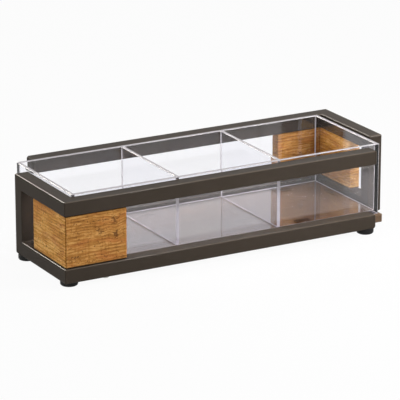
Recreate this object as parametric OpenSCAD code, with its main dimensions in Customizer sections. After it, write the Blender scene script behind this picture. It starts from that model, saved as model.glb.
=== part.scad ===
// Condiment organizer: two L-shaped frames of square steel tube, a base board and a
// clear three-compartment bin that lifts out. Millimetres, +Z up. The origin is the
// middle of the footprint, on the surface that the feet rest on.

/* [Frame] */
// Outside length of the frame, left to right
frame_w = 330; // [312:1:380]
// Outside depth of the frame, front to back
frame_d = 133.5; // [126:0.5:160]
// Height of the frame without its feet
frame_h = 70; // [60:0.5:90]
// Opening between the free end of a long rail and the outside of the other L-shaped frame
long_opening = 30; // [22:1:60]
// Opening between the post of a short rail and the outside of the other L-shaped frame
short_opening = 40; // [32:0.5:46]

/* [Square tube] */
// Outside width of the tube
tube_w = 12.5; // [11.5:0.5:14]
// Wall of the tube
tube_wall = 1.2; // [0.8:0.1:2]
// Outside corner radius of the tube
tube_r = 1; // [0.6:0.1:2.5]
// Thickness of the plug that closes a free tube end, in front of the tube
cap_t = 2.5; // [2:0.1:3]
// Radius of the plug's rounded outer edge
cap_edge = 2; // [1:0.1:2]

/* [Wood corner] */
// Thickness of the boards
wood_t = 10; // [8:0.5:10.5]
// Depth of the boards' faces behind the faces of the tube
wood_recess = 1; // [0.5:0.1:1.5]
// Reach of the long-side board from the outside corner of the frame
wood_long_l = 57.5; // [45:0.5:80]
// Width of the window between the short-side board and the post
wood_window = 20; // [12:0.5:30]
// Clearance above and below the boards
wood_gap = 0.3; // [0.1:0.1:0.5]
// Distance of a board's screw from its free end
wood_screw_in = 18; // [12:1:24]

/* [Base] */
// Thickness of the base board
board_t = 6.5; // [5:0.5:8]
// Clearance between the base board and the long rails
board_gap = 0.5; // [0.2:0.1:1.5]
// Clearance between the base board and the short rails
board_end_gap = 2.5; // [0.5:0.5:4]
// Corner radius of the base board
board_r = 2; // [1:0.5:5]
// Thickness of a tab
tab_t = 1.5; // [1:0.1:2]
// Width of a tab along its rail
tab_w = 14; // [12:1:20]
// Reach of a tab from its rail
tab_l = 16; // [14:1:20]
// Distance of the outer tabs of a long rail from the ends of that rail
tab_in = 60; // [40:1:90]
// Distance of the tab of a short rail from the outside corner
short_tab_in = 50; // [35:1:60]

/* [Bin] */
// Thickness of the clear sheets
bin_wall = 3; // [2:0.5:4]
// Height of the bin's rim above the top rails
bin_proud = 1.5; // [0.5:0.5:8]
// Clearance between the bin and the front and left rails
bin_gap = 0.5; // [0.3:0.1:2]
// Clearance between the bin and the rear rails
rear_gap = 4.5; // [0.5:0.5:10]
// Finger room between the bin and the right rails
finger_gap = 7.5; // [3:0.5:10]
// Dividers in the bin
divider_n = 2; // [2:1:2]

/* [Feet] */
// Radius of a foot
foot_r = 7.5; // [6.5:0.25:9]
// Height of a foot
foot_h = 5; // [3:0.1:8]
// Radius of a foot's rounded edges
foot_edge = 1.1; // [0.5:0.1:1.4]
// Distance of the other feet from the outside of the tube and from the rail ends
foot_in = 7; // [7:0.5:8]
// Distance of the corner foot from the short face of the frame
corner_foot_side_in = 9; // [7:0.5:9]
// Distance of the corner foot from the long face of the frame
corner_foot_in = 11.5; // [11.5:0.5:14]

/* [Screws] */
// Shank radius of the board screws
board_screw_r = 1.9; // [1.5:0.1:2.5]
// Head radius of the board screws
board_head_r = 3.7; // [3:0.1:5]
// Head height of the board screws
board_head_h = 2; // [1.5:0.1:3]
// Shank radius of the wood screws
wood_screw_r = 1.7; // [1.3:0.1:2.2]
// Head radius of the wood screws
wood_head_r = 3.3; // [2.8:0.1:4]
// Head height of the wood screws
wood_head_h = 1.9; // [1.5:0.1:2.4]
// Depth of the wood screws in the boards
wood_screw_in_wood = 12; // [8:1:18]
// Shank radius of the foot screws
foot_screw_r = 1.4; // [1:0.1:1.6]
// Head radius of the foot screws
foot_head_r = 2.8; // [2.4:0.1:3.2]
// Head height of the foot screws
foot_head_h = 1.4; // [1:0.1:1.8]
// Length of a foot screw above its head
foot_screw_l = 6; // [4:0.5:8]
// Thickness of a foot under its tube, where the screw clamps it
foot_web = 1.4; // [1:0.1:1.6]
// Radial clearance around a screw and its head
screw_gap = 0.1; // [0.05:0.05:0.3]

/* [Hidden] */

metal_colour = "#463c36";
wood_colour = "#be8744";
board_colour = "#4e3a2a";
rubber_colour = "#161616";
clear_colour = [0.86, 0.86, 0.92, 0.35];
screw_colour = "#8c8c88";

// Overrun of every cut
cut = 1;
// Lengths of the rails: a long one from its mitred corner to its free end, a short one
// from its mitred corner to the outside of its post
long_l = frame_w - long_opening;
short_l = frame_d - short_opening;
// Heights above the surface that the feet rest on
frame_z = foot_h;
rail_top_z = frame_z + frame_h - tube_w;
tab_z = frame_z + board_t;
bin_z = tab_z + tab_t;
bin_h = frame_z + frame_h + bin_proud - bin_z;
// The bin's outside, from the front-left corner of the frame
bin_x = tube_w + bin_gap;
bin_y = tube_w + bin_gap;
bin_w = frame_w - tube_w - finger_gap - bin_x;
bin_d = frame_d - tube_w - rear_gap - bin_y;
compartment_w = (bin_w - (divider_n + 2) * bin_wall) / (divider_n + 1);
divider_h = bin_h - bin_wall;
// Reach of the short-side board from the outside corner of the frame
wood_short_l = short_l - tube_w - wood_window;
// The boards' mid-plane from the face of the frame, and their height
wood_mid = wood_recess + wood_t / 2;
wood_z = frame_z + tube_w + wood_gap;
wood_h = frame_h - 2 * tube_w - 2 * wood_gap;
// Places of one L-shaped frame's screws and feet, from its outside corner
wood_screw_places = [[wood_long_l - wood_screw_in, wood_mid], [wood_mid, wood_short_l - wood_screw_in]];
corner_foot_place = [corner_foot_side_in, corner_foot_in];
post_foot_place = [foot_in, short_l - foot_in];
end_foot_place = [long_l - foot_in, foot_in];
// Places of one L-shaped frame's tabs: the middle of the tab's welded edge, and its direction
tab_places = [
    [[tab_in, tube_w], 0],
    [[long_l - tab_in, tube_w], 0],
    [[tube_w, short_tab_in], -90]
];

// The front and left frame, and the rear and right frame, which is the same one turned half round
module front_left() {
    translate([-frame_w / 2, -frame_d / 2, 0]) children();
}

module rear_right() {
    rotate([0, 0, 180]) front_left() children();
}

module both_frames() {
    front_left() children();
    rear_right() children();
}

// A square with round corners, its lower left corner at the origin
module round_square(w, r) {
    round_rectangle(w, w, r);
}

module round_rectangle(w, d, r) {
    translate([r, 0]) square([w - 2 * r, d]);
    translate([0, r]) square([w, d - 2 * r]);
    for (x = [r, w - r], y = [r, d - r])
        translate([x, y]) circle(r, $fn = 32);
}

// Tube along +X, from the origin
module tube(l) {
    rotate([90, 0, 90]) linear_extrude(l) difference() {
        round_square(tube_w, tube_r);
        translate([tube_wall, tube_wall]) square(tube_w - 2 * tube_wall);
    }
}

// What a mitre takes off the tube at the origin. The short side faces +Y, turned about the tube
module mitre(turn) {
    half = tube_w / 2 + cut;
    translate([0, tube_w / 2, tube_w / 2]) rotate([turn, 0, 0]) translate([0, 0, -half])
        linear_extrude(2 * half)
            polygon([[-cut, -half], [tube_w + cut, half], [-cut, half]]);
}

// Tube with a mitre at its near end and at its far end, each undef for a square end
module rail(l, near, far) {
    difference() {
        tube(l);
        if (near != undef) mitre(near);
        if (far != undef) translate([l, 0, 0]) mirror([1, 0, 0]) mitre(far);
    }
}

module long_rail() {
    rail(long_l - cap_t, 0, undef);
}

// The short rail of a frame runs along +Y. Its far end turns down or up into the post
module short_rail(turn) {
    mirror([1, -1, 0]) rail(short_l, 0, turn);
}

module post() {
    translate([tube_w, short_l - tube_w, frame_z]) rotate([0, -90, 0])
        rail(frame_h, 180, 180);
}

// Plug of a free tube end. Its outer edge is rounded all round
module end_cap() {
    translate([long_l - cap_t, 0, 0]) rotate([90, 0, 90]) intersection() {
        linear_extrude(cap_t) round_square(tube_w, tube_r);
        hull() {
            linear_extrude(cap_t - cap_edge) square(tube_w);
            linear_extrude(cap_t)
                translate([cap_edge, cap_edge]) square(tube_w - 2 * cap_edge);
            for (x = [cap_edge, tube_w - cap_edge], y = [cap_edge, tube_w - cap_edge])
                translate([x, y, cap_t - cap_edge]) sphere(cap_edge, $fn = 24);
        }
    }
}

// Holes in the underside of a bottom rail, at a frame's screw places
module rail_holes() {
    for (place = wood_screw_places)
        translate([place[0], place[1], -cut])
            cylinder(r = wood_screw_r + screw_gap, h = tube_w + 2 * cut, $fn = 32);
    for (place = [corner_foot_place, post_foot_place, end_foot_place])
        translate([place[0], place[1], -cut])
            cylinder(r = foot_screw_r + screw_gap, h = tube_wall + 2 * cut, $fn = 32);
}

module long_bottom_rail() {
    translate([0, 0, frame_z]) difference() {
        long_rail();
        rail_holes();
    }
}

module short_bottom_rail() {
    translate([0, 0, frame_z]) difference() {
        short_rail(90);
        rail_holes();
    }
}

// One board of a wood corner along +X, mitred at the corner, with the hole of its screw
module wood_board(reach) {
    inner = wood_recess + wood_t;
    difference() {
        translate([0, 0, wood_z]) linear_extrude(wood_h)
            polygon([[wood_recess, wood_recess], [reach, wood_recess], [reach, inner], [inner, inner]]);
        translate([reach - wood_screw_in, wood_mid, wood_z - cut])
            cylinder(r = wood_screw_r + screw_gap, h = wood_screw_in_wood + cut, $fn = 32);
    }
}

module long_wood() {
    color(wood_colour) wood_board(wood_long_l);
}

module short_wood() {
    color(wood_colour) mirror([1, -1, 0]) wood_board(wood_short_l);
}

// Pan-head screw, driven upwards: its head lies under z = 0
module pan_screw(shank_r, shank_l, head_r, head_h) {
    translate([0, 0, -head_h]) cylinder(r = head_r, h = head_h, $fn = 32);
    cylinder(r = shank_r, h = shank_l, $fn = 32);
}

module wood_screws() {
    color(screw_colour) both_frames()
        for (place = wood_screw_places)
            translate([place[0], place[1], frame_z])
                pan_screw(wood_screw_r, tube_w + wood_screw_in_wood, wood_head_r, wood_head_h);
}

// Turns what lies on the +Y side of a rail's inner face to each tab's place
module at_tabs() {
    for (place = tab_places)
        translate([place[0][0], place[0][1], 0]) rotate([0, 0, place[1]]) children();
}

module base_tabs() {
    color(metal_colour) both_frames() at_tabs() translate([0, 0, tab_z]) difference() {
        translate([-tab_w / 2, 0, 0]) cube([tab_w, tab_l, tab_t]);
        translate([0, tab_l / 2, -cut])
            cylinder(r = board_screw_r + screw_gap, h = tab_t + 2 * cut, $fn = 32);
    }
}

// Countersunk screw with its head in the underside of the base board, grown by a clearance
module board_screw(gap) {
    translate([0, tab_l / 2, frame_z]) {
        cylinder(r1 = board_head_r + gap, r2 = board_screw_r + gap, h = board_head_h, $fn = 32);
        cylinder(r = board_screw_r + gap, h = board_t + tab_t - screw_gap, $fn = 32);
    }
}

module base_screws() {
    color(screw_colour) both_frames() at_tabs() board_screw(0);
}

module base_board() {
    w = frame_w - 2 * (tube_w + board_end_gap);
    d = frame_d - 2 * (tube_w + board_gap);
    color(board_colour) difference() {
        translate([-w / 2, -d / 2, frame_z]) linear_extrude(board_t) round_rectangle(w, d, board_r);
        both_frames() at_tabs() {
            board_screw(screw_gap);
            translate([0, tab_l / 2, frame_z - cut])
                cylinder(r = board_head_r + screw_gap, h = cut, $fn = 32);
        }
    }
}

// Rubber disc with round edges, a bore for its screw and a recess for the screw's head
module foot() {
    color(rubber_colour) rotate_extrude($fn = 64) difference() {
        union() {
            square([foot_r - foot_edge, foot_h]);
            translate([0, foot_edge]) square([foot_r, foot_h - 2 * foot_edge]);
            for (z = [foot_edge, foot_h - foot_edge])
                translate([foot_r - foot_edge, z]) circle(foot_edge, $fn = 32);
        }
        translate([0, -cut]) square([foot_screw_r + screw_gap, foot_h + 2 * cut]);
        translate([0, -cut]) square([foot_head_r + 2 * screw_gap, foot_h - foot_web + cut]);
    }
}

module foot_at(place) {
    translate([place[0], place[1], 0]) foot();
}

module foot_screws() {
    color(screw_colour) both_frames()
        for (place = [corner_foot_place, post_foot_place, end_foot_place])
            translate([place[0], place[1], foot_h - foot_web])
                pan_screw(foot_screw_r, foot_screw_l, foot_head_r, foot_head_h);
}

// Clear sheet at a place in the bin, from the bin's lower front left corner
module sheet(place, size) {
    color(clear_colour) front_left() translate([bin_x, bin_y, bin_z])
        translate(place) cube(size);
}

module long_wall(y) {
    sheet([0, y, 0], [bin_w, bin_wall, bin_h]);
}

module end_wall(x) {
    sheet([x, bin_wall, 0], [bin_wall, bin_d - 2 * bin_wall, bin_h]);
}

module bin_floor() {
    sheet([bin_wall, bin_wall, 0], [bin_w - 2 * bin_wall, bin_d - 2 * bin_wall, bin_wall]);
}

module divider(n) {
    sheet([n * (compartment_w + bin_wall), bin_wall, bin_wall],
        [bin_wall, bin_d - 2 * bin_wall, divider_h]);
}

color(metal_colour) front_left() translate([0, 0, rail_top_z]) long_rail();  // front_top_rail
color(metal_colour) front_left() translate([0, 0, rail_top_z]) short_rail(-90);  // left_top_rail
color(metal_colour) front_left() post();  // left_post
color(metal_colour) front_left() long_bottom_rail();  // front_bottom_rail
color(metal_colour) front_left() short_bottom_rail();  // left_bottom_rail
color(metal_colour) rear_right() translate([0, 0, rail_top_z]) long_rail();  // rear_top_rail
color(metal_colour) rear_right() translate([0, 0, rail_top_z]) short_rail(-90);  // right_top_rail
color(metal_colour) rear_right() post();  // right_post
color(metal_colour) rear_right() long_bottom_rail();  // rear_bottom_rail
color(metal_colour) rear_right() short_bottom_rail();  // right_bottom_rail
color(metal_colour) front_left() translate([0, 0, rail_top_z]) end_cap();  // front_top_cap
color(metal_colour) front_left() translate([0, 0, frame_z]) end_cap();  // front_bottom_cap
color(metal_colour) rear_right() translate([0, 0, rail_top_z]) end_cap();  // rear_top_cap
color(metal_colour) rear_right() translate([0, 0, frame_z]) end_cap();  // rear_bottom_cap
front_left() long_wood();  // front_wood
front_left() short_wood();  // left_wood
rear_right() long_wood();  // rear_wood
rear_right() short_wood();  // right_wood
wood_screws();
base_board();
base_tabs();
base_screws();
front_left() foot_at(corner_foot_place);  // left_corner_foot
front_left() foot_at(post_foot_place);  // left_post_foot
front_left() foot_at(end_foot_place);  // front_end_foot
rear_right() foot_at(corner_foot_place);  // right_corner_foot
rear_right() foot_at(post_foot_place);  // right_post_foot
rear_right() foot_at(end_foot_place);  // rear_end_foot
foot_screws();
long_wall(0);  // bin_front_wall
long_wall(bin_d - bin_wall);  // bin_rear_wall
end_wall(0);  // bin_left_wall
end_wall(bin_w - bin_wall);  // bin_right_wall
bin_floor();
divider(1);  // left_divider
divider(divider_n);  // right_divider
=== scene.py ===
import bpy, bmesh, math
from mathutils import Matrix, Quaternion, Vector, noise


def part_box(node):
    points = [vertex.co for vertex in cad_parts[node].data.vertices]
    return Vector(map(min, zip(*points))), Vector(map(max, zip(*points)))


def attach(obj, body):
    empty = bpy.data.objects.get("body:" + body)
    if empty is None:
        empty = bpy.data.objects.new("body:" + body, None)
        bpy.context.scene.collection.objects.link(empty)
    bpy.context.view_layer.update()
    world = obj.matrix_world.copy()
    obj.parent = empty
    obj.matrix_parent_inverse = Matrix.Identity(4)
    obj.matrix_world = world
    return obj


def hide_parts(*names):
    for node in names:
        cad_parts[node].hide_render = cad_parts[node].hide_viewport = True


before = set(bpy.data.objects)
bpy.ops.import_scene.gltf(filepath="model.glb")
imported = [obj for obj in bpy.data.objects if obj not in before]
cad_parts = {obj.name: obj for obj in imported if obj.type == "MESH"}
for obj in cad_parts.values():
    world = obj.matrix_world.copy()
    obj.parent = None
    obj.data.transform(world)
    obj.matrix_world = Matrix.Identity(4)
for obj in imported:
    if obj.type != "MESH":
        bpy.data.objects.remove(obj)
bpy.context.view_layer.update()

# Tube frame. Two L-shaped frames of 12.5 mm square steel tube, each one mitred, welded and
# ground flush at its corners, so that no joint shows, and then powder coated dark bronze.
# They face each other and are joined by the base board only.
TUBE_EDGE_M = 0.001
GROUND_CORNER_M = 0.0018
EDGE_STEPS = 4
LEAST_UPWARD = 0.2
BRONZE = "3c352e"
BRONZE_CLOUDED = "463e37"
# Colours of the coat on the upper arrises, made paler as a painted highlight
ARRIS_HIGHLIGHT = "4a4037"
ARRIS_HIGHLIGHT_CLOUDED = "584d42"
CLOUD_MM = 30
ORANGE_PEEL_MM = 1.4
ORANGE_PEEL_RELIEF_M = 0.00003
SHINE_SPREAD = 0.11
SAME_PLACE_M = 0.00001


def linear(hex_colour):
    """The linear RGBA colour of an sRGB hex value."""
    parts = [int(hex_colour[i:i + 2], 16) / 255 for i in (0, 2, 4)]
    return (*[c / 12.92 if c <= 0.04045 else ((c + 0.055) / 1.055) ** 2.4 for c in parts], 1)


def add_node(tree, kind, settings=None, inputs=None):
    """Adds a shader node. An input is a value, or the output socket that feeds it."""
    made = tree.nodes.new("ShaderNode" + kind)
    for name, value in (settings or {}).items():
        setattr(made, name, value)
    for name, value in (inputs or {}).items():
        if isinstance(value, bpy.types.NodeSocket):
            tree.links.new(value, made.inputs[name])
        else:
            made.inputs[name].default_value = value
    return made


def node_tree(owner):
    """The emptied node tree of a material or a world."""
    owner.use_nodes = True
    owner.node_tree.nodes.clear()
    return owner.node_tree


def bronze_powder_coat(name, colours, specular, roughest):
    """Thermoset powder coat, sprayed and baked: a satin, very dark brown skin. It shows a
    faint orange peel where the grains ran together, and hardly any colour variation. The
    peel is drawn a little coarser than the real half millimetre so that it shows."""
    material = bpy.data.materials.new(name)
    tree = node_tree(material)
    place = add_node(tree, "TexCoord").outputs["Object"]
    cloud = add_node(tree, "TexNoise", inputs={
        "Vector": place, "Scale": 1000 / CLOUD_MM, "Detail": 4, "Roughness": 0.6})
    colour = add_node(tree, "Mix", {"data_type": "RGBA"}, {
        "Factor": cloud.outputs["Fac"], "A": linear(colours[0]), "B": linear(colours[1])})
    peel = add_node(tree, "TexNoise", inputs={
        "Vector": place, "Scale": 1000 / ORANGE_PEEL_MM, "Detail": 1, "Roughness": 0.4})
    rough = add_node(tree, "MapRange", inputs={
        "Value": peel.outputs["Fac"], "To Min": roughest - SHINE_SPREAD, "To Max": roughest})
    relief = add_node(tree, "Bump", inputs={
        "Height": peel.outputs["Fac"], "Strength": 0.6, "Distance": ORANGE_PEEL_RELIEF_M})
    skin = add_node(tree, "BsdfPrincipled", inputs={
        "Base Color": colour.outputs["Result"], "Roughness": rough.outputs["Result"],
        "IOR": 1.5, "Specular IOR Level": specular, "Normal": relief.outputs["Normal"]})
    output = add_node(tree, "OutputMaterial")
    tree.links.new(skin.outputs["BSDF"], output.inputs["Surface"])
    return material


def block_union(boxes):
    """One closed mesh of the space that axis-parallel boxes fill together."""
    steps = [sorted({round(corner[axis], 6) for box in boxes for corner in box})
             for axis in range(3)]
    cells = set()
    for i in range(len(steps[0]) - 1):
        for j in range(len(steps[1]) - 1):
            for k in range(len(steps[2]) - 1):
                middle = [(steps[a][n] + steps[a][n + 1]) / 2 for a, n in enumerate((i, j, k))]
                if any(all(low[a] < middle[a] < high[a] for a in range(3)) for low, high in boxes):
                    cells.add((i, j, k))
    bm = bmesh.new()
    corners = {}
    for cell in cells:
        for axis in range(3):
            for side in (0, 1):
                next_cell = list(cell)
                next_cell[axis] += 2 * side - 1
                if tuple(next_cell) in cells:
                    continue
                u, v = (axis + 1) % 3, (axis + 2) % 3
                ring = []
                for du, dv in ((0, 0), (1, 0), (1, 1), (0, 1)):
                    at = list(cell)
                    at[axis] += side
                    at[u] += du
                    at[v] += dv
                    if tuple(at) not in corners:
                        corners[tuple(at)] = bm.verts.new([steps[a][at[a]] for a in range(3)])
                    ring.append(corners[tuple(at)])
                bm.faces.new(ring if side else ring[::-1])
    bm.normal_update()
    bmesh.ops.dissolve_limit(bm, angle_limit=math.radians(1), verts=bm.verts, edges=bm.edges)
    bm.normal_update()
    return bm


def add_piece(name, bm, materials, body, nodes):
    """Makes an object of a mesh, rides it on its body and lets it stand for CAD nodes."""
    mesh = bpy.data.meshes.new(name)
    for face in bm.faces:
        face.smooth = True
    bm.to_mesh(mesh)
    bm.free()
    for material in materials:
        mesh.materials.append(material)
    piece = bpy.data.objects.new(name, mesh)
    bpy.context.scene.collection.objects.link(piece)
    piece.modifiers.new("flat_faces", "WEIGHTED_NORMAL").keep_sharp = True
    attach(piece, body)
    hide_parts(*nodes)
    return piece


def round_weighted_edges(piece, widest, steps):
    """Rounds each edge of a piece by its own share of the widest radius. The arrises take
    the piece's second material."""
    piece.modifiers.clear()
    bevel = piece.modifiers.new("round_edges", "BEVEL")
    bevel.limit_method = "WEIGHT"
    bevel.width = widest
    bevel.segments = steps
    bevel.material = 1
    bpy.context.view_layer.update()
    rounded = piece.evaluated_get(bpy.context.evaluated_depsgraph_get())
    piece.data = bpy.data.meshes.new_from_object(rounded)
    piece.modifiers.clear()
    piece.modifiers.new("flat_faces", "WEIGHTED_NORMAL").keep_sharp = True


powder_coat = bronze_powder_coat("bronze_powder_coat", (BRONZE, BRONZE_CLOUDED), 0.02, 0.38)
# The upper arrises get a paler and shinier coat. Its paler colour is a painted highlight along
# them
painted_highlight_coat = bronze_powder_coat("painted_highlight_coat_on_arrises", (ARRIS_HIGHLIGHT, ARRIS_HIGHLIGHT_CLOUDED), 0.16, 0.3)
# A free end stays sharp where its plug is welded in. The edges along the outside of the
# post are ground the most, and only faces that look up get the painted highlight
for front, side in (("front", "left"), ("rear", "right")):
    tubes = [front + "_top_rail", side + "_top_rail", side + "_post",
             side + "_bottom_rail", front + "_bottom_rail"]
    bm = block_union([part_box(tube) for tube in tubes])
    free_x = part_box(front + "_top_rail")[side == "left"].x
    post_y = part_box(side + "_post")[side == "left"].y
    radius_share = bm.edges.layers.float.new("bevel_weight_edge")
    for edge in bm.edges:
        ends = [vert.co for vert in edge.verts]
        along_x = (ends[0] - ends[1]).yz.length < SAME_PLACE_M
        if all(abs(end.x - free_x) < SAME_PLACE_M for end in ends):
            edge[radius_share] = 0.0
        elif along_x and all(abs(end.y - post_y) < SAME_PLACE_M for end in ends):
            edge[radius_share] = 1.0
        else:
            edge[radius_share] = TUBE_EDGE_M / GROUND_CORNER_M
    welded_frame = add_piece(front + "_" + side + "_frame", bm, [powder_coat, painted_highlight_coat],
                             "frame", tubes)
    round_weighted_edges(welded_frame, GROUND_CORNER_M, EDGE_STEPS)
    # Only faces that look up keep the paler coat of painted highlight
    for face in welded_frame.data.polygons:
        if face.normal.z < LEAST_UPWARD:
            face.material_index = 0

# End plugs. Each free tube end is closed by a steel plug with a well rounded edge. It is
# welded in and coated with the frame, and a fine line is left around it at the seam.
PLUG_EDGE_M = 0.002
PLUG_STEPS = 8


def end_plug(low, high, outward):
    """A plug that fills a box, with a round edge all round its outward end in X."""
    points = []
    turns = [math.pi / 2 * step / PLUG_STEPS for step in range(PLUG_STEPS + 1)]
    for y, z, sy, sz in ((low.y, low.z, -1, -1), (high.y, low.z, 1, -1),
                         (high.y, high.z, 1, 1), (low.y, high.z, -1, 1)):
        inset = Vector((0, y - sy * TUBE_EDGE_M, z - sz * TUBE_EDGE_M))
        ball = Vector((0, y - sy * PLUG_EDGE_M, z - sz * PLUG_EDGE_M))
        seam_x, end_x = (low.x, high.x) if outward > 0 else (high.x, low.x)
        for turn in turns:
            side = Vector((0, sy * math.cos(turn), sz * math.sin(turn)))
            for x in (seam_x, end_x - outward * PLUG_EDGE_M):
                points.append(inset + TUBE_EDGE_M * side + Vector((x, 0, 0)))
            for rise in turns[1:]:
                points.append(ball + PLUG_EDGE_M * math.cos(rise) * side + Vector(
                    (end_x - outward * PLUG_EDGE_M * (1 - math.sin(rise)), 0, 0)))
    bm = bmesh.new()
    for point in points:
        bm.verts.new(point)
    bmesh.ops.remove_doubles(bm, verts=bm.verts, dist=1e-6)
    bmesh.ops.convex_hull(bm, input=bm.verts)
    bmesh.ops.dissolve_limit(bm, angle_limit=math.radians(0.5), verts=bm.verts, edges=bm.edges)
    return bm


for node in ("front_top_cap", "front_bottom_cap", "rear_top_cap", "rear_bottom_cap"):
    low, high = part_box(node)
    bm = end_plug(low, high, 1 if node.startswith("front") else -1)
    add_piece(node.replace("cap", "end_plug"), bm, [powder_coat], "frame", [node])

# Tabs. Six 1.5 mm steel tabs under the bin are welded to the rails and carry the base
# board. They are coated together with the frame.
TAB_EDGE_M = 0.0004


def dress_node(node, material, edge_m=0.0, steps=2):
    """Gives a CAD node its finish, and rounds its sharp edges."""
    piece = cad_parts[node]
    piece.data.materials.clear()
    piece.data.materials.append(material)
    if edge_m:
        bevel = piece.modifiers.new("round_edges", "BEVEL")
        bevel.width = edge_m
        bevel.segments = steps
        bevel.limit_method = "ANGLE"
        bevel.angle_limit = math.radians(50)
    return piece


dress_node("base_tabs", powder_coat, TAB_EDGE_M)

# Pine corners. Two rough-sawn boards of knotty pine, mitred at the corner and screwed from
# below, stand between the rails. Their grain is level on both faces. They are stained a
# warm honey colour, and the saw has left fine ridges along them.
GRID_M = 0.0008
THICKNESS_GRID_M = 0.0024
BOARD_EDGE_M = 0.0009
SAW_RIDGE_M = 0.0028
SAW_RELIEF_M = 0.00010
PINE_RED = "b86c38"
PINE_KNOT = "58351a"
# Painted shade along each board's lower edge, for the dark gap above the rail: its colour, reach
# and strength
GAP_SHADE_PAINTED = "2a1a0e"
GAP_SHADE_MM = 1.2
GAP_SHADE_STRENGTH = 0.9
GRAIN_MM = 2.8
GRAIN_STRETCH_SHARE = 0.16
GRAIN_RELIEF_M = 0.00012
TEAR_MM = 1.6
# Late wood: how far across a growth ring it is, and how dark it is there
LATE_WOOD_STOPS = ((0.35, 0.0), (0.72, 0.42), (0.86, 0.5), (0.95, 0.0))
# Noise patterns of the boards: size along and across the board in millimetres, detail, range
# of the noise, and the strengths at its two ends
LATE_WOOD_FADING = (18, 5, 2, 0.3, 0.65, 0.2, 1.0)
FIBRES = (7, 0.8, 3, 0.3, 0.72, -0.14, 0.36)
STREAKS = (26, 6, 3, 0.35, 0.7, -0.1, 0.36)
SAW_STROKES = (2.2, 14, 1, 0.5, 0.8, 0.0, 0.2)
RED_PATCHES = (24, 8, 1, 0.5, 0.75, 0.0, 0.55)
SAW_TEARS = (3.4, 0.8, 1, 0.62, 0.72, 0.0, 0.45)
FLECKS = (1.5, 1.05, 2, 0.0, 1.0, 0.0, 1.0)
# Flecks crowd by this much more in a knot. Where the sum passes the range, they are dark
KNOT_CROWDING = 0.15
FLECK_RANGE = (0.6, 0.68)
FLECK_STRENGTH = 0.8
# Place of the middle tone between the light and the dark one
MIDDLE_TONE = 0.4
# Shares of a knot's half size: its full core, its outer reach, the reach of the bent lines
# around it, and how far they are pushed aside
KNOT_CORE_SHARE = 0.35
KNOT_REACH_SHARE = 1.2
BEND_REACH_SHARE = 2.6
BEND_SHARE = 0.5


def knot_field(tree, torn_place, marks):
    """How far a place is inside a knot or shake of a board, and how far up the knots push
    its lines. Each mark is its place along and up the board and its half size each way."""
    cluster, bend = None, None
    for mark_along, mark_up, half_length, half_height in marks:
        far = add_node(tree, "Mapping", {"vector_type": "TEXTURE"}, {
            "Vector": torn_place, "Location": (mark_along, 0, mark_up),
            "Scale": (half_length, 1, half_height)})
        far = add_node(tree, "VectorMath", {"operation": "LENGTH"}, {0: far.outputs[0]})
        inside = add_node(tree, "MapRange", {"interpolation_type": "SMOOTHSTEP"}, {
            "Value": far.outputs["Value"], "From Min": KNOT_CORE_SHARE,
            "From Max": KNOT_REACH_SHARE, "To Min": 1.0, "To Max": 0.0}).outputs["Result"]
        push = add_node(tree, "MapRange", {"interpolation_type": "SMOOTHSTEP"}, {
            "Value": far.outputs["Value"], "From Min": 0.0, "From Max": BEND_REACH_SHARE,
            "To Min": BEND_SHARE * half_height, "To Max": 0.0}).outputs["Result"]
        if cluster:
            inside = add_node(tree, "Math", {"operation": "MAXIMUM"}, {
                0: inside, 1: cluster}).outputs[0]
            push = add_node(tree, "Math", {"operation": "ADD"}, {0: push, 1: bend}).outputs[0]
        cluster, bend = inside, push
    return cluster, bend


def late_wood(tree, bent, seed):
    """The brown lines of late wood, a grain width apart. A wave texture of scale 1 repeats
    every tenth of pi."""
    long_way = add_node(tree, "Mapping", inputs={
        "Vector": bent, "Location": (seed, 0, seed), "Scale": (GRAIN_STRETCH_SHARE, 1, 1)})
    rings = add_node(tree, "TexWave", {"bands_direction": "Z", "wave_profile": "SAW"}, {
        "Vector": long_way.outputs[0], "Scale": math.pi / 10 / GRAIN_MM, "Distortion": 9.0,
        "Detail": 3.0, "Detail Scale": 0.8, "Detail Roughness": 0.55})
    late = add_node(tree, "ValToRGB", inputs={"Fac": rings.outputs["Fac"]})
    late.color_ramp.interpolation = "EASE"
    late.color_ramp.elements[0].color = (0, 0, 0, 1)
    late.color_ramp.elements[1].color = (0, 0, 0, 1)
    for place_share, shade in LATE_WOOD_STOPS:
        stop = late.color_ramp.elements.new(place_share)
        stop.color = (shade, shade, shade, 1)
    return late.outputs["Color"]


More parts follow.
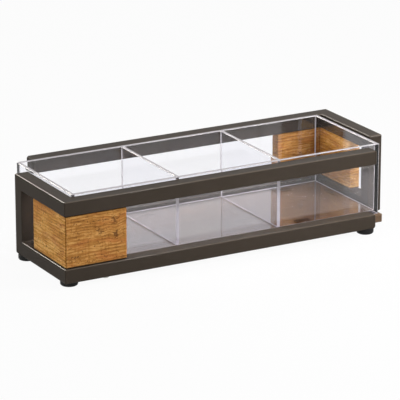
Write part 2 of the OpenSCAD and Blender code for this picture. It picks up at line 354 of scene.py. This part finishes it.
def honey_pine(name, along, lower_edge, tones, marks, seed):
    """Pine, sawn and stained: golden early wood between thin brown lines of late wood, a
    grain width apart and level along the board, with paler and redder patches. Knots and
    shakes are clusters of dark torn flecks that the lines bend around. The saw has left
    short dark tears and faint upright strokes. A painted shade darkens the lower edge, for
    the shadow in the gap above the rail.
    along is the board's direction, 0 for X and 1 for Y. tones are its light, middle and
    dark colour. Each mark is its place along and up the board and its half size each way."""
    material = bpy.data.materials.new(name)
    tree = node_tree(material)
    place = add_node(tree, "TexCoord").outputs["Object"]
    turned = {"Vector": place, "Rotation": (0, 0, -along * math.pi / 2),
              "Location": (0, 0, -1000 * lower_edge)}
    in_mm = add_node(tree, "Mapping", inputs={**turned, "Scale": (1000, 1000, 1000)}).outputs[0]
    on_face = add_node(tree, "Mapping", inputs={
        **turned, "Scale": (0, 1000, 1000) if along else (1000, 0, 1000)}).outputs[0]
    wobble = add_node(tree, "TexNoise", inputs={
        "Vector": in_mm, "Scale": 1 / TEAR_MM, "Detail": 3, "Roughness": 0.7})
    wobble = add_node(tree, "VectorMath", {"operation": "SUBTRACT"}, {
        0: wobble.outputs["Color"], 1: (0.5, 0.5, 0.5)})
    torn_place = add_node(tree, "VectorMath", {"operation": "MULTIPLY_ADD"}, {
        0: wobble.outputs[0], 1: (TEAR_MM, 0, TEAR_MM), 2: on_face}).outputs[0]

    cluster, bend = knot_field(tree, torn_place, marks)
    lift = add_node(tree, "CombineXYZ", inputs={"Z": bend})
    bent = add_node(tree, "VectorMath", {"operation": "ADD"}, {
        0: in_mm, 1: lift.outputs[0]}).outputs[0]

    def pattern(along_mm, across_mm, detail, low, high, to_low, to_high):
        """Noise of a size along and across the board, spread over a range of strengths."""
        spread = add_node(tree, "Mapping", inputs={
            "Vector": bent, "Location": (seed + detail * along_mm, across_mm, seed),
            "Scale": (1 / along_mm, 1 / across_mm, 1 / across_mm)})
        cloud = add_node(tree, "TexNoise", inputs={
            "Vector": spread.outputs[0], "Scale": 1.0, "Detail": detail, "Roughness": 0.6})
        return add_node(tree, "MapRange", inputs={
            "Value": cloud.outputs["Fac"], "From Min": low, "From Max": high,
            "To Min": to_low, "To Max": to_high}).outputs["Result"]

    dark = add_node(tree, "Math", {"operation": "MULTIPLY"}, {
        0: late_wood(tree, bent, seed), 1: pattern(*LATE_WOOD_FADING)}).outputs[0]
    for strength in (pattern(*FIBRES), pattern(*STREAKS), pattern(*SAW_STROKES)):
        dark = add_node(tree, "Math", {"operation": "ADD"}, {0: dark, 1: strength}).outputs[0]
    tone = add_node(tree, "ValToRGB", inputs={"Fac": dark})
    tone.color_ramp.elements[0].color = linear(tones[0])
    tone.color_ramp.elements[1].color = linear(tones[2])
    middle = tone.color_ramp.elements.new(MIDDLE_TONE)
    middle.color = linear(tones[1])
    redder = add_node(tree, "Mix", {"data_type": "RGBA"}, {
        "Factor": pattern(*RED_PATCHES), "A": tone.outputs["Color"], "B": linear(PINE_RED)})
    torn = add_node(tree, "Mix", {"data_type": "RGBA"}, {
        "Factor": pattern(*SAW_TEARS), "A": redder.outputs["Result"], "B": linear(PINE_KNOT)})
    crowded = add_node(tree, "Math", {"operation": "MULTIPLY_ADD"}, {
        0: cluster, 1: KNOT_CROWDING, 2: pattern(*FLECKS)})
    flecks = add_node(tree, "MapRange", inputs={
        "Value": crowded.outputs[0], "From Min": FLECK_RANGE[0], "From Max": FLECK_RANGE[1],
        "To Max": FLECK_STRENGTH})
    knotty = add_node(tree, "Mix", {"data_type": "RGBA"}, {
        "Factor": flecks.outputs["Result"], "A": torn.outputs["Result"], "B": linear(PINE_KNOT)})
    # Painted shade: the colour darkens towards the board's lower edge
    height = add_node(tree, "SeparateXYZ", inputs={"Vector": in_mm}).outputs["Z"]
    gap_shade = add_node(tree, "MapRange", {"interpolation_type": "SMOOTHSTEP"}, {
        "Value": height, "From Min": 0.5 * GAP_SHADE_MM, "From Max": 1.5 * GAP_SHADE_MM,
        "To Min": GAP_SHADE_STRENGTH, "To Max": 0.0})
    colour = add_node(tree, "Mix", {"data_type": "RGBA"}, {
        "Factor": gap_shade.outputs["Result"], "A": knotty.outputs["Result"],
        "B": linear(GAP_SHADE_PAINTED)})
    relief = add_node(tree, "Bump", {"invert": True}, {
        "Height": dark, "Strength": 0.5, "Distance": GRAIN_RELIEF_M})
    board = add_node(tree, "BsdfPrincipled", inputs={
        "Base Color": colour.outputs["Result"], "Roughness": 0.68,
        "Specular IOR Level": 0.16, "Normal": relief.outputs["Normal"]})
    output = add_node(tree, "OutputMaterial")
    tree.links.new(board.outputs["BSDF"], output.inputs["Surface"])
    return material


# Unevenness of the boards' surface, in waves per metre, and shares of wear and relief
WEAR_PER_M = 160
WEAR_SPREAD_SHARE = 0.5
RIDGE_DRIFT_PER_M = (45, 60)
TORN_PER_M = (260, 700, 900)
MEAN_DROP_SHARE = 0.5
RIDGE_DROP_SHARE = 0.3
TORN_DROP_SHARE = 0.45


def mitred_board(size, seed):
    """A board along +X from its mitre: its outer face lies in the plane y = 0, the inner
    one at y = thickness, and the mitre runs from the corner x = 0 to x = thickness. Its
    faces are fine grids, with worn edges and the low ridges of the saw."""
    bm = bmesh.new()
    counts = [max(2, round(s / GRID_M)) for s in size]
    counts[1] = max(4, round(size[1] / THICKNESS_GRID_M))
    places = {}

    def worn(x, y, z):
        """A point of the sharp board moved to its worn and ridged surface."""
        point = Vector((x, y, z))
        uneven = noise.noise(point * WEAR_PER_M + Vector((seed, 0, 0)))
        wear = BOARD_EDGE_M * (1 + WEAR_SPREAD_SHARE * uneven)
        core = Vector([min(max(c, wear), s - wear) for c, s in zip(point, size)])
        out = point - core
        if out.length > 1e-9:
            point = core + out.normalized() * wear
        drift = noise.noise(Vector((x * RIDGE_DRIFT_PER_M[0], y * RIDGE_DRIFT_PER_M[1], seed)))
        saw = math.sin(2 * math.pi * z / SAW_RIDGE_M + 2 * drift)
        rough = noise.noise(Vector((x * TORN_PER_M[0], y * TORN_PER_M[1],
                                    z * TORN_PER_M[2] + seed)))
        drop = SAW_RELIEF_M * (MEAN_DROP_SHARE - RIDGE_DROP_SHARE * saw
                               - TORN_DROP_SHARE * rough)
        if out.length > 1e-9:
            point -= out.normalized() * max(drop, 0)
        return (point.y + point.x * (size[0] - point.y) / size[0], point.y, point.z)

    def vertex(i, j, k):
        """The vertex of a grid place, made once."""
        if (i, j, k) not in places:
            at = [s * n / c for s, n, c in zip(size, (i, j, k), counts)]
            places[(i, j, k)] = bm.verts.new(worn(*at))
        return places[(i, j, k)]

    for axis in range(3):
        u, v = (axis + 1) % 3, (axis + 2) % 3
        for side in (0, counts[axis]):
            for a in range(counts[u]):
                for b in range(counts[v]):
                    ring = []
                    for da, db in ((0, 0), (1, 0), (1, 1), (0, 1)):
                        at = [0, 0, 0]
                        at[axis], at[u], at[v] = side, a + da, b + db
                        ring.append(vertex(*at))
                    bm.faces.new(ring if side else ring[::-1])
    return bm


# Boards along X take darker tones and boards along Y paler ones: painted shade and painted light,
# for how light falls on the two faces of a corner
PINE_PAINTED_DARKER = ("cc9754", "a97234", "6b411a")
PINE_PAINTED_PALER = ("eeb96b", "cf8f3d", "8c581f")
# Knots and shakes of each board, in millimetres: place along the board in the frame and up
# from its lower edge, and half the length and height
MARKS_MM = {
    "front_wood": [(-130.5, 37.2, 13.0, 0.9), (-117.6, 35.4, 4.4, 4.2), (-117.6, 22.7, 3.0, 4.6),
                   (-132.1, 28.3, 3.4, 3.4), (-155.0, 9.3, 5.4, 1.8)],
    "left_wood": [(-56.8, 13.1, 2.2, 1.4), (-57.5, 35.0, 2.0, 1.5), (-40.0, 33.7, 3.0, 1.2),
                  (-30.0, 9.7, 3.0, 1.0)],
    "rear_wood": [(131.0, 21.7, 3.0, 3.4), (150.0, 35.7, 6.0, 0.8)],
    "right_wood": [(30.0, 13.7, 2.6, 2.2), (50.0, 31.7, 4.0, 1.0)],
}
for seed, (node, along) in enumerate(
        (("front_wood", 0), ("left_wood", 1), ("rear_wood", 0), ("right_wood", 1))):
    low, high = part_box(node)
    reach, thick = (high - low)[along], (high - low)[1 - along]
    bm = mitred_board((reach, thick, high.z - low.z), 3.1 * seed + 1)
    turn = Matrix.Identity(4)
    if along:
        turn = Matrix(((0, 1, 0, 0), (1, 0, 0, 0), (0, 0, 1, 0), (0, 0, 0, 1)))
    corner = Vector((low.x, low.y, low.z))
    if node in ("rear_wood", "right_wood"):
        turn = Matrix.Rotation(math.pi, 4, "Z") @ turn
        corner = Vector((high.x, high.y, low.z))
    bmesh.ops.transform(bm, matrix=Matrix.Translation(corner) @ turn, verts=bm.verts)
    bmesh.ops.recalc_face_normals(bm, faces=bm.faces)
    # Painted light: the boards along Y are drawn paler, those along X darker
    pine = honey_pine("honey_pine_" + node, along, low.z, PINE_PAINTED_PALER if along else PINE_PAINTED_DARKER,
                      MARKS_MM[node], 13.7 * seed + 2)
    add_piece("pine_" + node.replace("_wood", "_board"), bm, [pine], "frame", [node])

# Base board. A 6.5 mm board with rounded corners lies between the rails and is screwed up
# to the tabs. It is stained walnut brown, and shows at its front right corner.
WALNUT_LIGHT = "705944"
WALNUT_DARK = "4c3b2e"
WALNUT_GRAIN_MM = 3.5
WALNUT_STRETCH_SHARE = 0.08
WALNUT_RELIEF_M = 0.0001
BASE_EDGE_M = 0.0007
BASE_EDGE_STEPS = 3


def walnut_stain():
    """Stained board: brown with darker lines along the grain, and a dull waxed surface."""
    material = bpy.data.materials.new("walnut_stained_board")
    tree = node_tree(material)
    place = add_node(tree, "TexCoord").outputs["Object"]
    long_way = add_node(tree, "Mapping", inputs={
        "Vector": place, "Scale": (WALNUT_STRETCH_SHARE, 1, 1)})
    grain = add_node(tree, "TexNoise", inputs={
        "Vector": long_way.outputs["Vector"], "Scale": 1000 / WALNUT_GRAIN_MM, "Detail": 5,
        "Roughness": 0.6, "Distortion": 0.3})
    tone = add_node(tree, "MapRange", inputs={
        "Value": grain.outputs["Fac"], "From Min": 0.3, "From Max": 0.7})
    colour = add_node(tree, "Mix", {"data_type": "RGBA"}, {
        "Factor": tone.outputs["Result"], "A": linear(WALNUT_LIGHT), "B": linear(WALNUT_DARK)})
    relief = add_node(tree, "Bump", {"invert": True}, {
        "Height": grain.outputs["Fac"], "Strength": 0.4, "Distance": WALNUT_RELIEF_M})
    board = add_node(tree, "BsdfPrincipled", inputs={
        "Base Color": colour.outputs["Result"], "Roughness": 0.65,
        "Specular IOR Level": 0.2, "Normal": relief.outputs["Normal"]})
    output = add_node(tree, "OutputMaterial")
    tree.links.new(board.outputs["BSDF"], output.inputs["Surface"])
    return material


dress_node("base_board", walnut_stain(), BASE_EDGE_M, BASE_EDGE_STEPS)

# Screws. Zinc-plated steel: pan heads hold the pine boards through the bottom rails and the
# feet to them, countersunk ones hold the base board to its tabs. All are driven upwards,
# each head has a cross recess, and the shanks are threaded.
ZINC = "b4b3ad"
ZINC_SPANGLE_MM = 1.5
SCREW_SIDES = 32
# Each group of screws: if it is countersunk, the height of its heads, and its whole length
SCREWS_MM = {
    "wood_screws": (False, 1.9, 26.4),
    "base_screws": (True, 2.0, 7.9),
    "foot_screws": (False, 1.4, 7.4),
}
# Shares of the head's radius
SHANK_SHARE = 0.5
CROSS_SHARE = 0.62
CROSS_SLOT_SHARE = 0.2
CROSS_TAPER_SHARE = 0.6
PAN_FLAT_SHARE = 0.72
HEAD_BEVEL_SHARE = 0.97
# Shares of the head's height
CROSS_DEPTH_SHARE = 0.55
PAN_DOME_SHARE = 0.7
PAN_RIM_SHARE = 0.05
SINK_RIM_SHARE = 0.03
# Shares of the shank's radius
PITCH_SHARE = 0.7
ROOT_SHARE = 0.82
TIP_LENGTH_SHARE = 1.5
TIP_START_SHARE = 0.8
TIP_END_SHARE = 0.25
PAN_STEPS = 6
# Each screw has stopped at a turn of its own, in radians per metre along X and Y
STOP_TURNS_PER_M = (35, 60)


def zinc_plate():
    """Bright zinc plate on steel: pale grey metal, slightly mottled in its shine."""
    material = bpy.data.materials.new("zinc_plated_steel")
    tree = node_tree(material)
    place = add_node(tree, "TexCoord").outputs["Object"]
    mottle = add_node(tree, "TexNoise", inputs={
        "Vector": place, "Scale": 1000 / ZINC_SPANGLE_MM, "Detail": 3})
    rough = add_node(tree, "MapRange", inputs={
        "Value": mottle.outputs["Fac"], "To Min": 0.25, "To Max": 0.42})
    plate = add_node(tree, "BsdfPrincipled", inputs={
        "Base Color": linear(ZINC), "Metallic": 1.0, "Roughness": rough.outputs["Result"]})
    output = add_node(tree, "OutputMaterial")
    tree.links.new(plate.outputs["BSDF"], output.inputs["Surface"])
    return material


def solid_boxes(node):
    """The lowest and highest corner of each separate solid of a CAD node, left to right."""
    bm = bmesh.new()
    bm.from_mesh(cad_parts[node].data)
    bmesh.ops.remove_doubles(bm, verts=bm.verts, dist=1e-7)
    waiting, boxes = set(bm.verts), []
    while waiting:
        reached, points = [waiting.pop()], []
        while reached:
            vert = reached.pop()
            points.append(vert.co.copy())
            for edge in vert.link_edges:
                other = edge.other_vert(vert)
                if other in waiting:
                    waiting.discard(other)
                    reached.append(other)
        boxes.append([Vector([pick(p[a] for p in points) for a in range(3)])
                      for pick in (min, max)])
    bm.free()
    return sorted(boxes, key=lambda box: tuple(round(c, 4) for c in box[0]))


def lathe(outline, sides):
    """A closed turned mesh about Z of an outline of radius and height, upwards. Its first
    and last points lie on the axis."""
    bm = bmesh.new()
    rings = []
    for radius, z in outline:
        if radius == 0:
            rings.append([bm.verts.new((0, 0, z))])
        else:
            turns = [2 * math.pi * n / sides for n in range(sides)]
            rings.append([bm.verts.new((radius * math.cos(turn), radius * math.sin(turn), z))
                          for turn in turns])
    for below, above in zip(rings, rings[1:]):
        for n in range(sides):
            ring = [below[n % len(below)], below[(n + 1) % len(below)],
                    above[(n + 1) % len(above)], above[n % len(above)]]
            bm.faces.new(list(dict.fromkeys(ring)))
    return bm


def screw(head_r, shank_r, low_z, head_z, top_z, countersunk):
    """A screw about Z, driven from below, with a cross recess pressed into its head."""
    head_h = head_z - low_z
    if countersunk:
        outline = [(0, low_z), (head_r * HEAD_BEVEL_SHARE, low_z),
                   (head_r, low_z + SINK_RIM_SHARE * head_h), (shank_r, head_z)]
    else:
        outline = [(0, low_z)]
        for step in range(PAN_STEPS + 1):
            turn = math.pi / 2 * step / PAN_STEPS
            radius_share = PAN_FLAT_SHARE + (1 - PAN_FLAT_SHARE) * math.sin(turn)
            rise_share = PAN_DOME_SHARE * (1 - math.cos(turn))
            outline.append((head_r * radius_share, low_z + head_h * rise_share))
        outline += [(head_r, head_z - PAN_RIM_SHARE * head_h),
                    (head_r * HEAD_BEVEL_SHARE, head_z), (shank_r, head_z)]
    tip_z = top_z - TIP_LENGTH_SHARE * shank_r
    pitch = PITCH_SHARE * shank_r
    z = head_z + pitch
    while z + pitch < tip_z:
        outline += [(shank_r * ROOT_SHARE, z), (shank_r, z + 0.5 * pitch)]
        z += pitch
    outline += [(shank_r * TIP_START_SHARE, tip_z), (shank_r * TIP_END_SHARE, top_z), (0, top_z)]
    body = lathe(outline, SCREW_SIDES)
    arm, slot = CROSS_SHARE * head_r, CROSS_SLOT_SHARE * head_r
    start_z, bottom_z = low_z - head_h, low_z + CROSS_DEPTH_SHARE * head_h
    cutter = block_union([
        (Vector((-arm, -slot, start_z)), Vector((arm, slot, bottom_z))),
        (Vector((-slot, -arm, start_z)), Vector((slot, arm, bottom_z)))])
    for vert in cutter.verts:
        if vert.co.z > low_z:
            vert.co.x *= CROSS_TAPER_SHARE
            vert.co.y *= CROSS_TAPER_SHARE
    shapes = []
    for name, bm in (("screw_blank", body), ("cross_punch", cutter)):
        mesh = bpy.data.meshes.new(name)
        bm.to_mesh(mesh)
        bm.free()
        shapes.append(bpy.data.objects.new(name, mesh))
        bpy.context.scene.collection.objects.link(shapes[-1])
    press = shapes[0].modifiers.new("press", "BOOLEAN")
    press.object = shapes[1]
    press.solver = "EXACT"
    bpy.context.view_layer.update()
    pressed = shapes[0].evaluated_get(bpy.context.evaluated_depsgraph_get())
    bm = bmesh.new()
    bm.from_mesh(pressed.to_mesh())
    pressed.to_mesh_clear()
    for shape in shapes:
        mesh = shape.data
        bpy.data.objects.remove(shape)
        bpy.data.meshes.remove(mesh)
    return bm


zinc = zinc_plate()
for node, (countersunk, head_mm, length_mm) in SCREWS_MM.items():
    joined = bmesh.new()
    for low, high in solid_boxes(node):
        head_r = (high.x - low.x) / 2
        head_z = low.z + head_mm / length_mm * (high.z - low.z)
        bm = screw(head_r, SHANK_SHARE * head_r, low.z, head_z, high.z, countersunk)
        stop = STOP_TURNS_PER_M[0] * low.x + STOP_TURNS_PER_M[1] * low.y
        turn = Matrix.Rotation(stop, 4, "Z")
        middle = Vector(((low.x + high.x) / 2, (low.y + high.y) / 2, 0))
        bm.transform(Matrix.Translation(middle) @ turn)
        mesh = bpy.data.meshes.new("one_screw")
        bm.to_mesh(mesh)
        bm.free()
        joined.from_mesh(mesh)
        bpy.data.meshes.remove(mesh)
    group = add_piece("zinc_" + node, joined, [zinc], "frame", [node])
    sharp = group.modifiers.new("crisp_edges", "EDGE_SPLIT")
    sharp.split_angle = math.radians(40)

# Feet. Moulded rubber discs with a well rounded tread, one screw up through each into the
# bottom rail. The head sits in a recess, clear of the table.
RUBBER = "171615"
RUBBER_GRAIN_MM = 0.6
FOOT_SIDES = 64
TREAD_EDGE_M = 0.0019
FOOT_TOP_EDGE_M = 0.0005
FOOT_RECESS_R_M = 0.003
FOOT_WEB_M = 0.0014
FOOT_LIP_M = 0.0003
RUBBER_RELIEF_M = 0.00005


def moulded_rubber():
    """Moulded black rubber: near black and dull, with a fine eroded grain from the mould."""
    material = bpy.data.materials.new("moulded_black_rubber")
    tree = node_tree(material)
    place = add_node(tree, "TexCoord").outputs["Object"]
    grain = add_node(tree, "TexNoise", inputs={
        "Vector": place, "Scale": 1000 / RUBBER_GRAIN_MM, "Detail": 2})
    rough = add_node(tree, "MapRange", inputs={
        "Value": grain.outputs["Fac"], "To Min": 0.55, "To Max": 0.75})
    relief = add_node(tree, "Bump", inputs={
        "Height": grain.outputs["Fac"], "Strength": 0.4, "Distance": RUBBER_RELIEF_M})
    rubber = add_node(tree, "BsdfPrincipled", inputs={
        "Base Color": linear(RUBBER), "Roughness": rough.outputs["Result"],
        "Specular IOR Level": 0.2, "Normal": relief.outputs["Normal"]})
    output = add_node(tree, "OutputMaterial")
    tree.links.new(rubber.outputs["BSDF"], output.inputs["Surface"])
    return material


def quarter_turn(centre_r, centre_z, radius, start, steps=6):
    """Outline points of a quarter circle that starts at an angle in degrees."""
    points = []
    for step in range(steps + 1):
        turn = math.radians(start + 90 * step / steps)
        points.append((centre_r + radius * math.cos(turn), centre_z + radius * math.sin(turn)))
    return points


rubber = moulded_rubber()
for node in ("left_corner_foot", "left_post_foot", "front_end_foot",
             "right_corner_foot", "right_post_foot", "rear_end_foot"):
    low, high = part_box(node)
    foot_r = (high.x - low.x) / 2
    foot_h = high.z - low.z
    outline = [(0, foot_h - FOOT_WEB_M), (FOOT_RECESS_R_M, foot_h - FOOT_WEB_M)]
    outline += [(FOOT_RECESS_R_M, FOOT_LIP_M), (FOOT_RECESS_R_M + FOOT_LIP_M, 0)]
    outline += quarter_turn(foot_r - TREAD_EDGE_M, TREAD_EDGE_M, TREAD_EDGE_M, -90)
    outline += quarter_turn(foot_r - FOOT_TOP_EDGE_M, foot_h - FOOT_TOP_EDGE_M,
                            FOOT_TOP_EDGE_M, 0, 3)
    outline.append((0, foot_h))
    bm = lathe(outline, FOOT_SIDES)
    bmesh.ops.translate(bm, vec=((low.x + high.x) / 2, (low.y + high.y) / 2, low.z),
                        verts=bm.verts)
    foot = add_piece("rubber_" + node, bm, [rubber], "frame", [node])
    sharp = foot.modifiers.new("crisp_edges", "EDGE_SPLIT")
    sharp.split_angle = math.radians(50)

# Clear bin. Five 3 mm sheets of cast acrylic, sawn, flame polished and cemented into an open
# box so well that no joint shows but its fine bright line. Two dividers are pushed in between
# the long walls, and their ends show through these as pale bars. These bright lines, pale bars
# and the pale rim are painted light on the edges and arrises.
ARRIS_M = 0.0005
CORNER_ARRIS_M = 0.0008
ARRIS_STEPS = 3
JOINT_M = 0.00005
CLEAR_TINT = "fafafd"
SHADOW_TINT = "f2f2f8"
# Painted light of the sheets' edges: a pale violet, in noisy bands
EDGE_PAINTED_LIGHT = "bcb5bb"
EDGE_PAINTED_LIGHT_BANDED = "d6d0d5"
EDGE_BAND_MM = 4
EDGE_CLEAR_SHARE = 0.35
ACRYLIC_IOR = 1.49
# A normal with a part above this is square to the sheets
SQUARE_NORMAL = 0.999


def cast_acrylic():
    """Cast acrylic sheet: water clear, fully polished, with a hint of violet."""
    material = bpy.data.materials.new("clear_cast_acrylic")
    tree = node_tree(material)
    clear = add_node(tree, "BsdfPrincipled", inputs={
        "Base Color": linear(CLEAR_TINT), "Roughness": 0.0, "IOR": ACRYLIC_IOR,
        "Transmission Weight": 1.0})
    lamp_way = add_node(tree, "BsdfTransparent", inputs={"Color": linear(SHADOW_TINT)})
    paths = add_node(tree, "LightPath")
    both = add_node(tree, "MixShader", inputs={
        0: paths.outputs["Is Shadow Ray"], 1: clear.outputs["BSDF"], 2: lamp_way.outputs["BSDF"]})
    output = add_node(tree, "OutputMaterial")
    tree.links.new(both.outputs[0], output.inputs["Surface"])
    return material


def acrylic_edge():
    """The edge of a clear sheet gathers light from the whole sheet, so it looks like a pale
    violet bar. That light is painted: the edge is drawn as a bright satin surface, pale
    violet in noisy bands."""
    material = bpy.data.materials.new("acrylic_edge_painted_light")
    tree = node_tree(material)
    place = add_node(tree, "TexCoord").outputs["Object"]
    bands = add_node(tree, "TexNoise", inputs={
        "Vector": place, "Scale": 1000 / EDGE_BAND_MM, "Detail": 2})
    colour = add_node(tree, "Mix", {"data_type": "RGBA"}, {
        "Factor": bands.outputs["Fac"], "A": linear(EDGE_PAINTED_LIGHT), "B": linear(EDGE_PAINTED_LIGHT_BANDED)})
    edge = add_node(tree, "BsdfPrincipled", inputs={
        "Base Color": colour.outputs["Result"], "Roughness": 0.12, "IOR": ACRYLIC_IOR,
        "Transmission Weight": EDGE_CLEAR_SHARE})
    output = add_node(tree, "OutputMaterial")
    tree.links.new(edge.outputs["BSDF"], output.inputs["Surface"])
    return material


def add_clear_piece(name, bm, upright_arris_m, nodes):
    """A piece of the bin, whose polished arrises take the painted light of its edges. Its flat
    faces keep flat normals, so that they refract cleanly."""
    radius_share = bm.edges.layers.float.new("bevel_weight_edge")
    for edge in bm.edges:
        along = edge.verts[0].co - edge.verts[1].co
        if edge.calc_face_angle() > math.radians(1):
            upright = math.hypot(along.x, along.y) < SAME_PLACE_M
            edge[radius_share] = 1.0 if upright else ARRIS_M / upright_arris_m
    piece = add_piece(name, bm, [acrylic, edge_acrylic], "bin", nodes)
    round_weighted_edges(piece, upright_arris_m, ARRIS_STEPS)
    for face in piece.data.polygons:
        face.use_smooth = max(abs(part) for part in face.normal) < SQUARE_NORMAL


acrylic = cast_acrylic()
edge_acrylic = acrylic_edge()
walls = ["bin_front_wall", "bin_rear_wall", "bin_left_wall", "bin_right_wall", "bin_floor"]
bm = block_union([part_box(wall) for wall in walls])
# Of the box, only the rim shows the edges of its sheets, with their painted light
for face in bm.faces:
    if face.normal.z > 0.5 and face.calc_center_median().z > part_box("bin_floor")[1].z + JOINT_M:
        face.material_index = 1
add_clear_piece("clear_bin", bm, CORNER_ARRIS_M, walls)
for node in ("left_divider", "right_divider"):
    low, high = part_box(node)
    bm = block_union([(low + JOINT_M * Vector((0, 1, 1)), high - JOINT_M * Vector((0, 1, 0)))])
    # All but its two broad faces are edges, with their painted light
    for face in bm.faces:
        if abs(face.normal.x) < 0.5:
            face.material_index = 1
    add_clear_piece("clear_" + node, bm, ARRIS_M, [node])

# Studio. A wide white sheet lies under the organizer. A large soft lamp hangs above, two
# small ones stand at the front right and a wide one at the left. A strip lamp far behind
# draws the bright lines on the upper left arrises.
PAPER_M = 6
PAPER = "d0d0d0"
PAPER_GLOW = 0.95
ROOM_LIGHT = 0.37
COOL_WHITE = (0.95, 1.0, 0.97)
WARM_WHITE = (1.0, 0.93, 0.84)
# Turn of the strip lamp that lays it along the arc which the left arrises mirror
ARRIS_ROLL = -38


def seen_directly(tree):
    """1 where the camera sees a surface, also mirrored or through the clear bin, and 0 where
    the surface only lights others."""
    paths = add_node(tree, "LightPath")
    seen = add_node(tree, "Math", {"operation": "MAXIMUM"}, {
        0: paths.outputs["Is Camera Ray"], 1: paths.outputs["Is Glossy Ray"]})
    seen = add_node(tree, "Math", {"operation": "MAXIMUM"}, {
        0: seen.outputs[0], 1: paths.outputs["Is Transmission Ray"]})
    return seen.outputs[0]


def white_studio_paper():
    """Matt white paper, burnt out by its own lighting but for the shadow on it."""
    material = bpy.data.materials.new("white_studio_paper")
    tree = node_tree(material)
    share = add_node(tree, "Math", {"operation": "MULTIPLY"}, {
        0: seen_directly(tree), 1: PAPER_GLOW})
    paper = add_node(tree, "BsdfDiffuse", inputs={"Color": linear(PAPER)})
    glow = add_node(tree, "Emission", inputs={"Color": (1, 1, 1, 1), "Strength": 1.0})
    both = add_node(tree, "MixShader", inputs={
        0: share.outputs[0], 1: paper.outputs[0], 2: glow.outputs[0]})
    output = add_node(tree, "OutputMaterial")
    tree.links.new(both.outputs[0], output.inputs["Surface"])
    return material


def studio_room():
    """A white room that looks as bright as the paper, and lights the organizer gently."""
    world = bpy.data.worlds.new("studio_room")
    tree = node_tree(world)
    strength = add_node(tree, "MapRange", inputs={
        "Value": seen_directly(tree), "To Min": ROOM_LIGHT, "To Max": 1.0})
    room = add_node(tree, "Background", inputs={
        "Color": (1, 1, 1, 1), "Strength": strength.outputs["Result"]})
    output = add_node(tree, "OutputWorld")
    tree.links.new(room.outputs[0], output.inputs["Surface"])
    return world


half = PAPER_M / 2
paper_mesh = bpy.data.meshes.new("paper_sheet")
paper_mesh.from_pydata([(-half, -half, 0), (half, -half, 0), (half, half, 0), (-half, half, 0)],
                       [], [(0, 1, 2, 3)])
paper_mesh.materials.append(white_studio_paper())
paper_sheet = bpy.data.objects.new("paper_sheet", paper_mesh)
bpy.context.scene.collection.objects.link(paper_sheet)
bpy.context.scene.world = studio_room()


def softbox(name, place, size, watts, roll=0.0):
    """A rectangular soft lamp that points at the organizer, turned about its own axis by
    roll degrees. Its place and size are in metres."""
    lamp = bpy.data.lights.new(name, "AREA")
    lamp.shape = "RECTANGLE"
    lamp.size, lamp.size_y = size
    lamp.energy = watts
    box = bpy.data.objects.new(name, lamp)
    box.location = place
    aim = (-Vector(place)).to_track_quat("-Z", "Y") @ Quaternion((0, 0, 1), math.radians(roll))
    box.rotation_euler = aim.to_euler()
    bpy.context.scene.collection.objects.link(box)
    return box


softbox("top_softbox", (0.5, -0.3, 1.55), (1.6, 1.4), 7)
softbox("key_softbox", (0.52, -0.46, 0.62), (0.3, 0.3), 2.7)
softbox("fill_softbox", (0.38, -0.42, 0.4), (0.2, 0.2), 2)
cool = softbox("left_softbox", (-1.8, -0.6, 0.7), (0.9, 0.9), 8.2)
cool.data.color = COOL_WHITE
strip = softbox("rear_left_strip", (-0.78, 1.66, 1.0), (1.2, 0.4), 42, ARRIS_ROLL)
strip.data.color = WARM_WHITE
strip.visible_diffuse = False
strip.visible_transmission = False

# Camera. It stands in front of the left end and looks down a little, from far away, so
# that the long rails hardly converge. Its place and lens were fitted to the straight
# edges of the organizer in the photograph.
PHOTO_WIDTH_PX = 400
FOCAL_PX = 2776.3
SENSOR_MM = 36
CAMERA_PLACE_M = (-1.1079, -1.9827, 0.7649)
AZIMUTH = math.radians(29.145)
PITCH = math.radians(17.861)
FAR_M = 20
camera_data = bpy.data.cameras.new("camera")
camera_data.sensor_width = SENSOR_MM
camera_data.lens = FOCAL_PX / PHOTO_WIDTH_PX * camera_data.sensor_width
camera_data.clip_end = FAR_M
camera = bpy.data.objects.new("camera", camera_data)
camera.location = CAMERA_PLACE_M
camera.rotation_euler = (math.pi / 2 - PITCH, 0, -AZIMUTH)
bpy.context.scene.collection.objects.link(camera)
bpy.context.scene.camera = camera
bpy.context.scene.view_settings.view_transform = "Standard"
